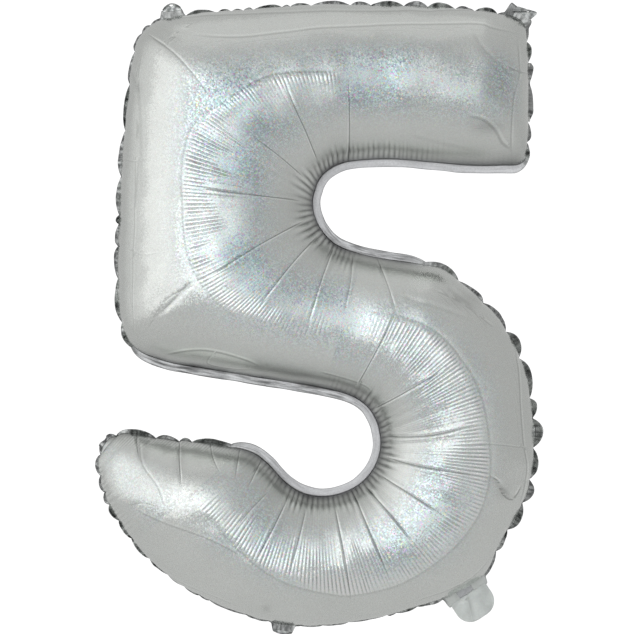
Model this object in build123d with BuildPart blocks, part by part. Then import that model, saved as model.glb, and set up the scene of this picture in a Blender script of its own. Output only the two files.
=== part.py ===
from build123d import *
import math
import os

# Foil number balloon, digit 5, jumbo size, shown inflated. Millimetres, +Z up.
# Two film panels meet in the plane Y = 0, heat-sealed to each other along a flat margin.
# The front faces -Y. The frame's origin is the centre of the whole object's box.

film_wall = 1.2  # drawn thickness of a domed film panel
margin_wall = 0.8  # drawn thickness of one layer in the flat sealed margin
margin_width = 10.0  # width of the sealed margin outside the inflated outline
depth_share = 0.72  # half depth of a stroke over half its width
half_depth_max = 92.0  # half depth at the fattest place, the upright of the digit

crease_at = 12.0  # every crease lies this far outside the inflated outline
crease_half_gap = 1.2  # open width on each side of a crease

tail_width = 57.0
tail_length = 48.0  # from the inflated outline to the tip of the tail
tail_wall = 0.8  # drawn thickness of one layer of the tail
valve_width = 26.0
valve_length = 140.0
valve_wall = 0.35  # drawn thickness of one valve film
valve_pocket_width = 27.0
valve_pocket_depth = 0.4  # channel each panel leaves in its sealed margin for the valve

tab_width = 25.0
tab_length = 25.5  # from the inflated outline to the tip of the tab
tab_wall = 1.6  # both layers of a tab, sealed together
tab_hole_radius = 2.5
tab_hole_at = 19.0  # from the inflated outline to the centre of the hole

# The outline was drawn about another point; this moves it to the centre of the box.
shift_x = 0.36
shift_z = 6.35

# Each section crosses the stroke: (x, z) on the edge that starts under the bar of the digit,
# then (x, z) on the edge that starts over it. They run from the bar's free end, round the
# shoulder, down the upright, round the bowl and out to the tip of the hook.
drawn_sections = [
    (291.0, 268.0, 291.0, 348.0),
    (289.6, 232.0, 289.6, 384.0),
    (281.6, 210.7, 281.6, 404.8),
    (252.7, 207.9, 252.7, 415.9),
    (211.4, 207.9, 208.6, 421.4),
    (163.2, 212.1, 161.8, 425.5),
    (115.0, 216.2, 115.0, 427.6),
    (76.4, 216.2, 76.4, 428.2),
    (46.1, 213.4, 42.0, 428.2),
    (31.0, 209.3, -6.2, 427.6),
    (18.6, 203.1, -53.0, 424.8),
    (9.0, 195.5, -102.6, 420.7),
    (2.8, 187.3, -160.4, 415.2),
    (-0.7, 180.4, -211.4, 408.3),
    (-2.8, 173.5, -243.0, 385.6),
    (-4.8, 166.6, -255.4, 336.0),
    (-5.9, 161.1, -261.6, 276.8),
    (-6.2, 155.6, -267.8, 214.8),
    (-5.9, 150.1, -271.3, 152.8),
    (-4.8, 143.2, -273.3, 97.8),
    (-2.8, 136.3, -274.0, 49.6),
    (0.0, 129.4, -270.6, 1.4),
    (3.4, 122.6, -254.1, -39.9),
    (7.6, 116.4, -208.6, -61.3),
    (12.4, 110.2, -153.5, -71.6),
    (18.6, 104.0, -102.6, -79.9),
    (28.2, 97.1, -57.1, -87.4),
    (43.4, 90.2, -18.6, -93.6),
    (66.8, 83.3, 11.7, -99.1),
    (98.5, 77.1, 35.1, -104.7),
    (134.3, 72.3, 53.0, -111.5),
    (174.2, 64.0, 65.4, -119.8),
    (211.4, 35.8, 73.7, -128.1),
    (243.0, 5.5, 79.9, -137.7),
    (269.2, -34.4, 84.7, -148.7),
    (287.1, -79.9, 87.4, -159.7),
    (296.7, -126.7, 88.8, -169.4),
    (299.5, -170.7, 88.8, -179.0),
    (295.4, -216.2, 87.4, -188.6),
    (281.6, -263.0, 84.0, -199.7),
    (256.8, -305.7, 78.5, -210.7),
    (230.6, -353.9, 71.6, -220.3),
    (190.7, -381.4, 62.7, -229.3),
    (149.4, -396.6, 51.6, -236.8),
    (105.3, -409.7, 37.9, -243.0),
    (59.9, -418.6, 22.7, -247.2),
    (11.7, -425.5, 6.2, -248.5),
    (-33.7, -425.5, -10.3, -246.5),
    (-75.0, -417.9, -24.1, -241.7),
    (-113.6, -405.5, -36.5, -234.1),
    (-149.4, -390.4, -47.5, -225.1),
    (-182.5, -371.8, -57.8, -214.1),
    (-212.7, -349.1, -69.5, -201.7),
    (-238.9, -325.0, -88.8, -188.0),
    (-260.9, -298.1, -121.9, -179.0),
    (-278.8, -272.0, -160.4, -173.5),
    (-291.2, -246.5, -199.0, -170.7),
    (-298.1, -221.7, -234.8, -165.2),
    (-300.2, -201.0, -265.1, -161.1),
    (-298.4, -189.0, -279.6, -165.6),
    (-295.2, -181.0, -286.4, -170.4),
]
sections = [
    (ax + shift_x, az + shift_z, bx + shift_x, bz + shift_z)
    for ax, az, bx, bz in drawn_sections
]
bar_tip = (292.0 + shift_x, 308.0 + shift_z)
hook_tip = (-292.4 + shift_x, -174.4 + shift_z)


def half_depth(i):
    # Half depth of the stroke at section i. Both ends of the stroke are rounded off.
    ax, az, bx, bz = sections[i]
    depth = min(depth_share * math.hypot(bx - ax, bz - az) / 2, half_depth_max)
    mx, mz = (ax + bx) / 2, (az + bz) / 2
    if i < 8:
        d, full = bar_tip[0] - mx, 70.0
        reach = 72.0
    elif i > len(sections) - 8:
        d, full = math.hypot(mx - hook_tip[0], mz - hook_tip[1]), depth
        reach = 34.0
    else:
        return depth
    full = min(full, max(depth, 62.0)) if i < 8 else depth
    if d >= reach:
        return full
    return max(full * math.sqrt(1 - (1 - d / reach) ** 2), 3.0)


def strip(start, axis, width, near, far):
    # Corners of a straight strip that leaves the outline at start along axis, in the XZ plane.
    sx, sz = start[0] + shift_x, start[1] + shift_z
    ux, uz = axis
    tx, tz = uz, -ux
    return [
        (sx + ux * f + tx * w, sz + uz * f + tz * w)
        for f, w in (
            (near, -width / 2),
            (far, -width / 2),
            (far, width / 2),
            (near, width / 2),
        )
    ]


def unit(x, z):
    length = math.hypot(x, z)
    return (x / length, z / length)


# Where each flap leaves the inflated outline, and the way it points.
tail_root, tail_axis = (203.1, -374.5), unit(0.55, -0.835)
left_tab_root, left_tab_axis = (-197.6, 410.2), unit(-0.134, 0.991)
right_tab_root, right_tab_axis = (277.0, 408.8), unit(0.743, 0.670)
tie_tab_root, tie_tab_axis = (-45.5, -423.8), unit(-0.155, -0.988)

def widened(points, amount):
    # A closed outline moved outward by amount, along the mean normal at each point.
    moved = []
    for i, (x, z) in enumerate(points):
        x0, z0 = points[i - 1]
        x1, z1 = points[(i + 1) % len(points)]
        ax, az = unit(x - x0, z - z0)
        bx, bz = unit(x1 - x, z1 - z)
        nx, nz = unit(az + bz, -ax - bx)
        moved.append((x + nx * amount, z + nz * amount))
    return moved


# The inflated outline as one closed run of points, counterclockwise seen from the front.
edge_points = [(s[0], s[1]) for s in reversed(sections)] + [
    (s[2], s[3]) for s in sections
]
turning = sum(
    x0 * z1 - x1 * z0
    for (x0, z0), (x1, z1) in zip(edge_points, edge_points[1:] + edge_points[:1])
)
if turning < 0:
    edge_points.reverse()

# The flat shape of one panel: the sealed margin round the inflated outline, and the short feet
# of the tail and of the tabs up to their creases.
with BuildSketch(Plane.XZ) as margin:
    with BuildLine():
        Spline(*widened(edge_points, margin_width), periodic=True)
    make_face()
    with BuildLine():
        Polyline(
            *strip(tail_root, tail_axis, tail_width, -6, crease_at - crease_half_gap),
            close=True,
        )
    make_face()
    for root, axis in (
        (left_tab_root, left_tab_axis),
        (right_tab_root, right_tab_axis),
        (tie_tab_root, tie_tab_axis),
    ):
        with BuildLine():
            Polyline(
                *strip(root, axis, tab_width, -6, crease_at - crease_half_gap),
                close=True,
            )
        make_face()


def dome(inset, drop):
    # The closed body under the front panel: a half ellipse over each section, lofted from
    # section to section. inset moves it in by one wall. drop carries it past the seal plane,
    # so that the panel can be cut open there.
    with BuildPart() as body:
        for i, (ax, az, bx, bz) in enumerate(sections):
            width = math.hypot(bx - ax, bz - az)
            across = Vector(bx - ax, 0, bz - az) / width
            middle = Vector((ax + bx) / 2, 0, (az + bz) / 2)
            along = across.cross(Vector(0, -1, 0))
            if inset and i == 0:
                middle = Vector(middle.X - inset, 0, middle.Z)
            if inset and i == len(sections) - 1:
                middle = Vector(middle.X + inset * 0.7, 0, middle.Z - inset * 0.7)
            r = width / 2 - inset
            h = half_depth(i) - inset
            with BuildSketch(Plane(origin=middle, x_dir=across, z_dir=along)):
                with BuildLine():
                    arc = EllipticalCenterArc((0, 0), r, h, start_angle=0, arc_size=180)
                    Polyline(arc @ 1, (-r, -drop), (r, -drop), arc @ 0)
                make_face()
        loft(ruled=True)
    return body.part


def valve_channel(side, width, depth, far):
    # The straight channel, or the film that lies in it, along the axis of the tail.
    with BuildPart() as channel:
        with BuildSketch(Plane.XZ):
            with BuildLine():
                Polyline(
                    *strip(
                        tail_root,
                        tail_axis,
                        width,
                        far - valve_length,
                        far,
                    ),
                    close=True,
                )
            make_face()
        extrude(amount=-side * depth)
    return channel.part


front_dome, front_hollow = dome(0, 3), dome(film_wall, 5)
channel_to_cut = valve_channel(-1, valve_pocket_width, valve_pocket_depth, crease_at + 5)

with BuildPart() as front_panel:
    add(front_dome)
    with BuildSketch(Plane.XZ):
        add(margin.sketch)
    extrude(amount=margin_wall)
    add(front_hollow, mode=Mode.SUBTRACT)
    split(bisect_by=Plane.XZ, keep=Keep.TOP)
    add(channel_to_cut, mode=Mode.SUBTRACT)

# The back panel is the same shape on the other side of the seal.
with BuildPart() as back_panel:
    add(front_panel.part)
    mirror(about=Plane.XZ, mode=Mode.REPLACE)

# The self-sealing valve: two clear films that lie face to face, held in the sealed margin and
# hanging free inside.
with BuildPart() as valve_front_film:
    add(valve_channel(-1, valve_width, valve_wall, crease_at - crease_half_gap))

with BuildPart() as valve_back_film:
    add(valve_channel(1, valve_width, valve_wall, crease_at - crease_half_gap))


def flap_outline(root, axis, width, far, corner):
    # A flap from its crease to its tip, with two rounded corners at the tip.
    with BuildSketch(Plane.XZ) as flap:
        with BuildLine():
            Polyline(
                *strip(root, axis, width, crease_at + crease_half_gap, far), close=True
            )
        make_face()
        sx, sz = root[0] + shift_x, root[1] + shift_z
        tip = flap.vertices().sort_by_distance(
            (sx + axis[0] * 400, 0, sz + axis[1] * 400)
        )[0:2]
        fillet(tip, corner)
    return flap.sketch


tail_shape = flap_outline(tail_root, tail_axis, tail_width, tail_length, 17)

# The tail is two layers, open at the tip, with a shallow channel between them for the
# inflation nozzle.
with BuildPart() as tail_front_layer:
    with BuildSketch(Plane.XZ):
        add(tail_shape)
    extrude(amount=tail_wall)
    add(
        valve_channel(-1, valve_pocket_width, valve_pocket_depth, tail_length + 5),
        mode=Mode.SUBTRACT,
    )

with BuildPart() as tail_back_layer:
    with BuildSketch(Plane.XZ):
        add(tail_shape)
    extrude(amount=-tail_wall)
    add(
        valve_channel(1, valve_pocket_width, valve_pocket_depth, tail_length + 5),
        mode=Mode.SUBTRACT,
    )


def tab(root, axis):
    # A small tab of both layers, with one punched hole.
    sx, sz = root[0] + shift_x, root[1] + shift_z
    with BuildPart() as flap:
        with BuildSketch(Plane.XZ):
            add(flap_outline(root, axis, tab_width, tab_length, 6))
            with Locations((sx + axis[0] * tab_hole_at, sz + axis[1] * tab_hole_at)):
                Circle(tab_hole_radius, mode=Mode.SUBTRACT)
        extrude(amount=tab_wall / 2, both=True)
    return flap.part


with BuildPart() as hang_tab_left:
    add(tab(left_tab_root, left_tab_axis))

with BuildPart() as hang_tab_right:
    add(tab(right_tab_root, right_tab_axis))

with BuildPart() as tie_tab:
    add(tab(tie_tab_root, tie_tab_axis))

front_panel.part.label = "front_panel"
back_panel.part.label = "back_panel"
valve_front_film.part.label = "valve_front_film"
valve_back_film.part.label = "valve_back_film"
tail_front_layer.part.label = "tail_front_layer"
tail_back_layer.part.label = "tail_back_layer"
hang_tab_left.part.label = "hang_tab_left"
hang_tab_right.part.label = "hang_tab_right"
tie_tab.part.label = "tie_tab"

os.makedirs("parts", exist_ok=True)
export_step(front_panel.part, "parts/front_panel.step")
export_step(back_panel.part, "parts/back_panel.step")
export_step(valve_front_film.part, "parts/valve_front_film.step")
export_step(valve_back_film.part, "parts/valve_back_film.step")
export_step(tail_front_layer.part, "parts/tail_front_layer.step")
export_step(tail_back_layer.part, "parts/tail_back_layer.step")
export_step(hang_tab_left.part, "parts/hang_tab_left.step")
export_step(hang_tab_right.part, "parts/hang_tab_right.step")
export_step(tie_tab.part, "parts/tie_tab.step")

for piece in (front_panel, back_panel, valve_front_film, tail_front_layer, tie_tab):
    box = piece.part.bounding_box()
    print(piece.part.label, round(piece.part.volume), box.min, box.max)
for name, root, axis in (
    ("tail", tail_root, tail_axis),
    ("hang_left", left_tab_root, left_tab_axis),
    ("hang_right", right_tab_root, right_tab_axis),
    ("tie", tie_tab_root, tie_tab_axis),
):
    sx, sz = root[0] + shift_x, root[1] + shift_z
    print(
        name,
        "crease",
        [round(sx + axis[0] * crease_at, 3), 0, round(sz + axis[1] * crease_at, 3)],
        "hole",
        [round(sx + axis[0] * tab_hole_at, 3), 0, round(sz + axis[1] * tab_hole_at, 3)],
        "along the crease",
        [round(axis[1], 4), 0, round(-axis[0], 4)],
    )
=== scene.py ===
import math

import bmesh
import bpy
import numpy as np
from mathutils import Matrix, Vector


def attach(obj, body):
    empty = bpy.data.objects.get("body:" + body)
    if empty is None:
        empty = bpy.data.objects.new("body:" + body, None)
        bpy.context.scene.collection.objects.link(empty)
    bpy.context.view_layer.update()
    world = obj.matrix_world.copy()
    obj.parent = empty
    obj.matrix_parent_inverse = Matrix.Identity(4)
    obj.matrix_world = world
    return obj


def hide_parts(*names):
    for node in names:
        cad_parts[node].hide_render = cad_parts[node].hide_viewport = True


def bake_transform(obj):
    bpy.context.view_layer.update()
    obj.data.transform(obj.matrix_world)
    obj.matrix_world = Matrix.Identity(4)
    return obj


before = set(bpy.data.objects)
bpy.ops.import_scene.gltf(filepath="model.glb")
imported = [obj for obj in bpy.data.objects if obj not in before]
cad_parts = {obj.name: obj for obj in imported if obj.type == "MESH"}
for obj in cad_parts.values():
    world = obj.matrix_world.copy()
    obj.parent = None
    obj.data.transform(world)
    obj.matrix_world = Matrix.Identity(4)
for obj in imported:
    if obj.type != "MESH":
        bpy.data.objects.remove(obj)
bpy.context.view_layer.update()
COLUMNS = 3400

# ------------------------------------------------------------------ the outline of the digit
# The same sections as the frame's solids: (x, z) on one edge and (x, z) on the other, mm.
SECTIONS = np.array([
    (291.0, 268.0, 291.0, 348.0), (289.6, 232.0, 289.6, 384.0), (281.6, 210.7, 281.6, 404.8),
    (252.7, 207.9, 252.7, 415.9), (211.4, 207.9, 208.6, 421.4), (163.2, 212.1, 161.8, 425.5),
    (115.0, 216.2, 115.0, 427.6), (76.4, 216.2, 76.4, 428.2), (46.1, 213.4, 42.0, 428.2),
    (31.0, 209.3, -6.2, 427.6), (18.6, 203.1, -53.0, 424.8), (9.0, 195.5, -102.6, 420.7),
    (2.8, 187.3, -160.4, 415.2), (-0.7, 180.4, -211.4, 408.3), (-2.8, 173.5, -243.0, 385.6),
    (-4.8, 166.6, -255.4, 336.0), (-5.9, 161.1, -261.6, 276.8), (-6.2, 155.6, -267.8, 214.8),
    (-5.9, 150.1, -271.3, 152.8), (-4.8, 143.2, -273.3, 97.8), (-2.8, 136.3, -274.0, 49.6),
    (0.0, 129.4, -270.6, 1.4), (3.4, 122.6, -254.1, -39.9), (7.6, 116.4, -208.6, -61.3),
    (12.4, 110.2, -153.5, -71.6), (18.6, 104.0, -102.6, -79.9), (28.2, 97.1, -57.1, -87.4),
    (43.4, 90.2, -18.6, -93.6), (66.8, 83.3, 11.7, -99.1), (98.5, 77.1, 35.1, -104.7),
    (134.3, 72.3, 53.0, -111.5), (174.2, 64.0, 65.4, -119.8), (211.4, 35.8, 73.7, -128.1),
    (243.0, 5.5, 79.9, -137.7), (269.2, -34.4, 84.7, -148.7), (287.1, -79.9, 87.4, -159.7),
    (296.7, -126.7, 88.8, -169.4), (299.5, -170.7, 88.8, -179.0), (295.4, -216.2, 87.4, -188.6),
    (281.6, -263.0, 84.0, -199.7), (256.8, -305.7, 78.5, -210.7), (230.6, -353.9, 71.6, -220.3),
    (190.7, -381.4, 62.7, -229.3), (149.4, -396.6, 51.6, -236.8), (105.3, -409.7, 37.9, -243.0),
    (59.9, -418.6, 22.7, -247.2), (11.7, -425.5, 6.2, -248.5), (-33.7, -425.5, -10.3, -246.5),
    (-75.0, -417.9, -24.1, -241.7), (-113.6, -405.5, -36.5, -234.1), (-149.4, -390.4, -47.5, -225.1),
    (-182.5, -371.8, -57.8, -214.1), (-212.7, -349.1, -69.5, -201.7), (-238.9, -325.0, -88.8, -188.0),
    (-260.9, -298.1, -121.9, -179.0), (-278.8, -272.0, -160.4, -173.5), (-291.2, -246.5, -199.0, -170.7),
    (-298.1, -221.7, -234.8, -165.2), (-300.2, -201.0, -265.1, -161.1), (-298.4, -189.0, -279.6, -165.6),
    (-295.2, -181.0, -286.4, -170.4),
])
SHIFT = np.array((0.36, 6.35))
BAR_TIP = np.array((292.0, 308.0)) + SHIFT
HOOK_TIP = np.array((-292.4, -174.4)) + SHIFT
MARGIN = 11.0


def lattice(shape, seed):
    return np.random.default_rng(seed).uniform(-1, 1, shape)


def noise1(x, seed):
    table = lattice(1024, seed)
    i = np.floor(x).astype(int)
    f = x - i
    f = f * f * f * (f * (6 * f - 15) + 10)
    return table[i % 1024] * (1 - f) + table[(i + 1) % 1024] * f


def noise2(x, y, seed):
    table = lattice((256, 256), seed)
    i, j = np.floor(x).astype(int), np.floor(y).astype(int)
    f, g = x - i, y - j
    f = f * f * f * (f * (6 * f - 15) + 10)
    g = g * g * g * (g * (6 * g - 15) + 10)
    a, b = table[i % 256, j % 256], table[(i + 1) % 256, j % 256]
    c, d = table[i % 256, (j + 1) % 256], table[(i + 1) % 256, (j + 1) % 256]
    return (a * (1 - f) + b * f) * (1 - g) + (c * (1 - f) + d * f) * g


def step(lo, hi, x):
    t = np.clip((x - lo) / (hi - lo), 0, 1)
    return t * t * (3 - 2 * t)


def catmull(p, u):
    n = len(p)
    i = np.clip(np.floor(u).astype(int), 0, n - 2)
    t = (u - i)[:, None]
    p0, p1 = p[np.clip(i - 1, 0, n - 1)], p[i]
    p2, p3 = p[i + 1], p[np.clip(i + 2, 0, n - 1)]
    return 0.5 * (
        2 * p1
        + (p2 - p0) * t
        + (2 * p0 - 5 * p1 + 4 * p2 - p3) * t**2
        + (3 * p1 - p0 - 3 * p2 + p3) * t**3
    )


def blur(v, n):
    k = np.exp(-0.5 * (np.arange(-3 * n, 3 * n + 1) / n) ** 2)
    k /= k.sum()
    padded = np.concatenate([np.full(3 * n, v[0]), v, np.full(3 * n, v[-1])])
    return np.convolve(padded, k, "valid")


# Columns run along the stroke, evenly on its centre line. All lengths here are mm.
edge_a, edge_b = SECTIONS[:, :2] + SHIFT, SECTIONS[:, 2:] + SHIFT
fine_u = np.linspace(0, len(SECTIONS) - 1, 24001)
fa, fb = catmull(edge_a, fine_u), catmull(edge_b, fine_u)
pace = 0.5 * (
    np.linalg.norm(np.diff(fa, axis=0), axis=1)
    + np.linalg.norm(np.diff(fb, axis=0), axis=1)
)
run = np.concatenate([[0], np.cumsum(pace)])
u = np.interp(np.linspace(0, run[-1], COLUMNS), run, fine_u)
A, B = catmull(edge_a, u), catmull(edge_b, u)
width = np.linalg.norm(B - A, axis=1)
mid = (A + B) / 2
half = ((0.72 * width / 2) ** -9.0 + 93.0**-9.0) ** (-1 / 9)
from_bar = BAR_TIP[0] - mid[:, 0]
near_bar = u < 8
full = np.where(near_bar, np.maximum(half, 62.0), half)
full = blur(np.where(near_bar, np.minimum(full, 78), full), 26)
d_bar = np.where(near_bar & (from_bar < 84), np.clip(from_bar / 84, 0, 1), 1)
from_hook = np.linalg.norm(mid - HOOK_TIP, axis=1)
d_hook = np.where(u > 45, np.clip(from_hook / 34, 0, 1), 1)
half = full * np.sqrt(1 - (1 - d_bar) ** 2.7) * np.sqrt(1 - (1 - d_hook) ** 2)
half[0] = half[-1] = 0.0

# Rows run over the dome, closer together where the fine folds end.
alpha = np.radians(
    np.concatenate([
        np.linspace(0, 60, 19)[:-1],
        np.linspace(60, 122, 38)[:-1],
        np.linspace(122, 180, 19),
    ])
)
ROWS = len(alpha)
share = ((1 - np.cos(alpha)) / 2)[:, None]
lift = np.sin(alpha)[:, None]

# How far each edge runs for each column, and which edge is on the inside of the bend there.
da = blur(np.linalg.norm(np.gradient(A, axis=0), axis=1), 12)
db = blur(np.linalg.norm(np.gradient(B, axis=0), axis=1), 12)
inner_is_a = (da < db) | (u < 9.5)
inner = np.maximum(np.where(inner_is_a, da, db), 0.02)
outer = np.where(inner_is_a, db, da)
rho = 2 * inner / np.maximum(outer - inner, 1e-4)
angle = np.where(inner_is_a[None, :], alpha[:, None], math.pi - alpha[:, None])
excess = (1.38 * rho + angle) / (1.38 * rho + 1.38 * (1 - np.cos(angle))) - 1
pace = np.maximum(da[None, :] * (1 - share) + db[None, :] * share, 0.02)

# Smooth edges (the inside of bends) and scalloped edges (the outside), by section number.
smooth_a = step(1.6, 2.4, u) * (1 - step(29.6, 31.0, u))
smooth_b = step(21.6, 22.8, u) * (1 - step(53.0, 54.5, u))


# Where the fine folds end: a line in the plane of the digit for each of the two bends.
def px(points):
    return np.array([((x - 316.5) * 1.377, (316.0 - y) * 1.377) for x, y in points]) + SHIFT


def rounded(points, n=12):
    return catmull(points, np.linspace(0, len(points) - 1, n * (len(points) - 1) + 1)) if len(points) > 2 else points


def off_line(x, z, points):
    # How far each point is to the left of a line of points, and how far along it, 0 to 1.
    best = np.full(x.shape, 1e9)
    along, sign = np.zeros_like(x), np.ones_like(x)
    lengths = np.linalg.norm(np.diff(points, axis=0), axis=1)
    gone = 0.0
    for p, q, length in zip(points[:-1], points[1:], lengths):
        ax, az = x - p[0], z - p[1]
        t = (ax * (q[0] - p[0]) + az * (q[1] - p[1])) / length**2
        tc = np.clip(t, 0, 1)
        d = np.hypot(ax - tc * (q[0] - p[0]), az - tc * (q[1] - p[1]))
        near = d < best
        best = np.where(near, d, best)
        sign = np.where(near, np.sign((q[0] - p[0]) * az - (q[1] - p[1]) * ax), sign)
        along = np.where(near, (gone + tc * length) / lengths.sum(), along)
        gone += length
    return best, sign, along


RING_UP = px([
    (378, 78), (350, 79), (318, 78), (284, 80), (262, 86), (242, 98), (222, 112), (204, 122), (193, 138), (187, 160),
    (185, 184), (186, 208), (187, 232), (191, 256), (200, 277), (216, 298), (236, 315), (262, 327),
    (300, 335), (340, 338), (384, 334),
])
RING_LOW = px([
    (366, 312), (384, 314), (404, 318), (425, 327), (444, 342), (458, 360), (470, 378), (479, 402), (484, 430),
    (486, 454), (485, 476), (479, 502), (467, 524), (448, 546), (421, 567), (392, 582), (350, 591),
    (320, 588), (292, 580), (268, 568), (248, 552), (232, 536), (214, 516),
])
flat_x = A[None, :, 0] + (B - A)[None, :, 0] * share
flat_z = A[None, :, 1] + (B - A)[None, :, 1] * share
near_up, left_up, _ = off_line(flat_x, flat_z, rounded(RING_UP, 3))
near_low, left_low, _ = off_line(flat_x, flat_z, rounded(RING_LOW, 3))
ring_off = np.where(inner_is_a[None], -left_up * near_up, left_low * near_low)
ring_on = np.where(
    inner_is_a,
    step(8.3, 8.9, u) * (1 - step(25.5, 27.8, u)),
    step(28.2, 30.5, u) * (1 - step(53.5, 56.0, u)),
)
ring_line = np.interp(u, [8, 9, 19, 23, 29, 31, 50, 56], [0.6, 1, 1, 0.3, 0.15, 0.7, 0.6, 0.1])
stroke_length = np.interp(
    u, [8, 11, 12, 13.5, 15, 20, 24, 28, 34, 46, 50, 57], [22, 24, 26, 44, 66, 62, 44, 38, 60, 60, 52, 30]
)
ring_share = np.take_along_axis(share * np.ones((1, COLUMNS)), np.abs(ring_off).argmin(0)[None], 0)[0]
ring_share = np.where(inner_is_a, ring_share, 1 - ring_share)
ring_pace = inner * (1 - ring_share) + outer * ring_share


def ridges(phase, seed, wander, soft):
    # Round ridges and sharp valleys, one for each unit of phase, not quite even.
    phase = phase + wander * noise1(phase * 0.41, seed) + 1.3 * wander * noise1(phase * 0.11, seed + 1)
    loud = 0.82 + 0.3 * noise1(phase * 0.63, seed + 2) + 0.2 * noise1(phase * 0.13, seed + 3)
    return (np.sqrt(np.sin(math.pi * phase) ** 2 + soft) - 0.62) * loud, phase


def pucker(seed, side_gain):
    # Fine folds across the stroke. One family starts at the inner seam and is short. The other
    # lies over the crest and ends in round tips where the smooth outer belt begins.
    # Gives the height in mm, the same folds as a plain wave that paints shade into their valleys and highlight onto
    # their ridges, and how far off the ring's end is.
    rim, phase = ridges(np.cumsum(inner) / 6.8, seed, 0.26, 0.006)
    tip = np.radians(37 + 9 * noise1(phase * 0.8, seed + 4) + 6 * noise1(phase * 0.17, seed + 5))
    bend_here = np.clip((outer / inner - 1) / 1.2, 0, 1)
    bend_here = np.maximum(bend_here, 0.75 * step(4.2, 6.4, u) * (1 - step(10, 13, u)))
    rim_size = bend_here[None] * step(0.04, 0.20, angle) * (1 - step(-0.22, 0.10, angle - tip[None]))
    out = 1.15 * rim[None] * rim_size
    wave = 2.1 * rim[None] * rim_size

    crest, phase = ridges(np.cumsum(ring_pace) / 5.6, seed + 30, 0.16, 0.006)
    off = ring_off - 1.5 * noise1(phase * 0.9, seed + 34)[None]
    length = stroke_length * (1 + 0.30 * noise1(phase * 0.35, seed + 36) + 0.40 * noise1(phase * 0.09, seed + 37))
    patchy = 0.72 + 0.75 * noise2(phase[None] * 0.16 + 0 * off, off / 24 + 60, seed + 38)
    patchy = np.clip(patchy + 0.25 * noise2(phase[None] * 0.5 + 0 * off, off / 16 + 60, seed + 39), 0.12, 1.2)
    even = np.interp(u, [0, 12, 14, 20, 24, 28], [0.95, 0.95, 0.72, 0.72, 0.5, 0.12])
    patchy = np.maximum(patchy, even[None] + 0 * off)
    inside = 1 - step(-4.5, 1.0, off)
    size = step(0.0, 24.0, off + length[None]) * inside * patchy
    far_in = 0.10 * step(0.25, 0.6, angle) * inside
    out += 0.80 * crest[None] * np.maximum(size, far_in) * ring_on[None]
    # Stronger painted fold shade and highlight just inside the ring's end.
    sharp = 1 + (0.7 + 0.7 * (1 - step(12, 14, u)))[None] * np.exp(-(((off + 13) / 10) ** 2))
    wave += sharp * crest[None] * np.maximum(size, 1.3 * far_in) * ring_on[None]
    # Longer, softer folds under both, and the puff of the folded band over the belt beside it.
    slow, phase = ridges(np.cumsum(ring_pace) / 27.0, seed + 60, 0.35, 0.02)
    out += 0.26 * slow[None] * step(0.15, 0.7, angle) * (1 - step(-45, 0, off)) * ring_on[None]
    off = ring_off
    out += (ring_on * ring_line)[None] * (1.1 * np.exp(-((off + 8) / 8) ** 2) - 1.2 * np.exp(-np.abs(off - 1.0) / 2.6))
    return side_gain * out, wave, off


# Long creases: points in the plane of the digit, then depth and half width, mm. Each also gets painted shade along it
# and a painted highlight beside it.
CREASES = [
    (px([(348, 164), (349, 130), (348, 84)]), 2.6, 1.1),
    (px([(318, 164), (306, 135), (295, 112), (284, 84)]), 2.7, 1.1),
    (px([(303, 178), (278, 158), (250, 138)]), 2.2, 1.1),
    (px([(299, 202), (245, 197), (192, 191)]), 2.7, 1.1),
    (px([(304, 222), (255, 250), (205, 283)]), 2.7, 1.1),
    (px([(318, 236), (290, 268), (258, 310)]), 2.6, 1.1),
    (px([(334, 246), (320, 285), (306, 332)]), 2.2, 1.1),
    (px([(352, 254), (350, 280), (344, 312)]), 1.7, 1.1),
    (px([(376, 258), (386, 285), (396, 318)]), 1.9, 1.1),
    (px([(356, 386), (378, 345), (396, 308)]), 2.7, 1.1),
    (px([(374, 408), (400, 393), (452, 362)]), 2.7, 1.1),
    (px([(386, 436), (430, 433), (480, 420)]), 2.6, 1.1),
    (px([(388, 457), (425, 465), (482, 473)]), 2.7, 1.1),
    (px([(380, 474), (410, 492), (442, 513)]), 2.5, 1.1),
    (px([(366, 486), (390, 512), (412, 540)]), 2.6, 1.1),
    (px([(354, 494), (374, 540), (391, 582)]), 2.6, 1.1),
    (px([(334, 504), (344, 552), (351, 602)]), 2.6, 1.1),
    (px([(306, 506), (298, 540), (289, 574)]), 2.2, 1.1),
    (px([(286, 500), (270, 532), (252, 564)]), 2.6, 1.1),
    (px([(268, 490), (252, 506), (236, 526)]), 1.9, 1.1),
    (px([(228, 420), (224, 440), (232, 470)]), 0.0, 1.1),
    (px([(184, 36), (170, 50), (155, 62)]), 1.4, 1.1),
    (px([(128, 60), (142, 110), (144, 200)]), 1.3, 2.6),
    (px([(195, 282), (178, 300), (158, 320)]), 1.9, 2.6),
    (px([(410, 138), (445, 147), (482, 156)]), 0.9, 2.6),
    (px([(470, 40), (488, 62), (520, 88)]), 1.3, 2.6),
    (px([(445, 288), (460, 300), (480, 312)]), 1.3, 2.6),
    (px([(400, 297), (435, 308), (470, 321)]), 1.3, 2.6),
    (px([(482, 474), (497, 484), (512, 498)]), 1.3, 2.6),
    (px([(137, 434), (138, 444), (141, 458)]), 2.6, 1.1),
    (px([(180, 440), (181, 458), (184, 486)]), 2.6, 1.1),
    (px([(210, 440), (214, 456), (222, 472)]), 2.2, 1.1),
    (px([(240, 448), (238, 462), (236, 478)]), 2.2, 1.1),
    (px([(262, 458), (256, 470), (248, 486)]), 2.2, 1.1),
    (px([(130, 250), (146, 256), (164, 254)]), 0.9, 1.1),
    (px([(124, 160), (138, 164), (156, 160)]), 0.9, 1.1),
]
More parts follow.
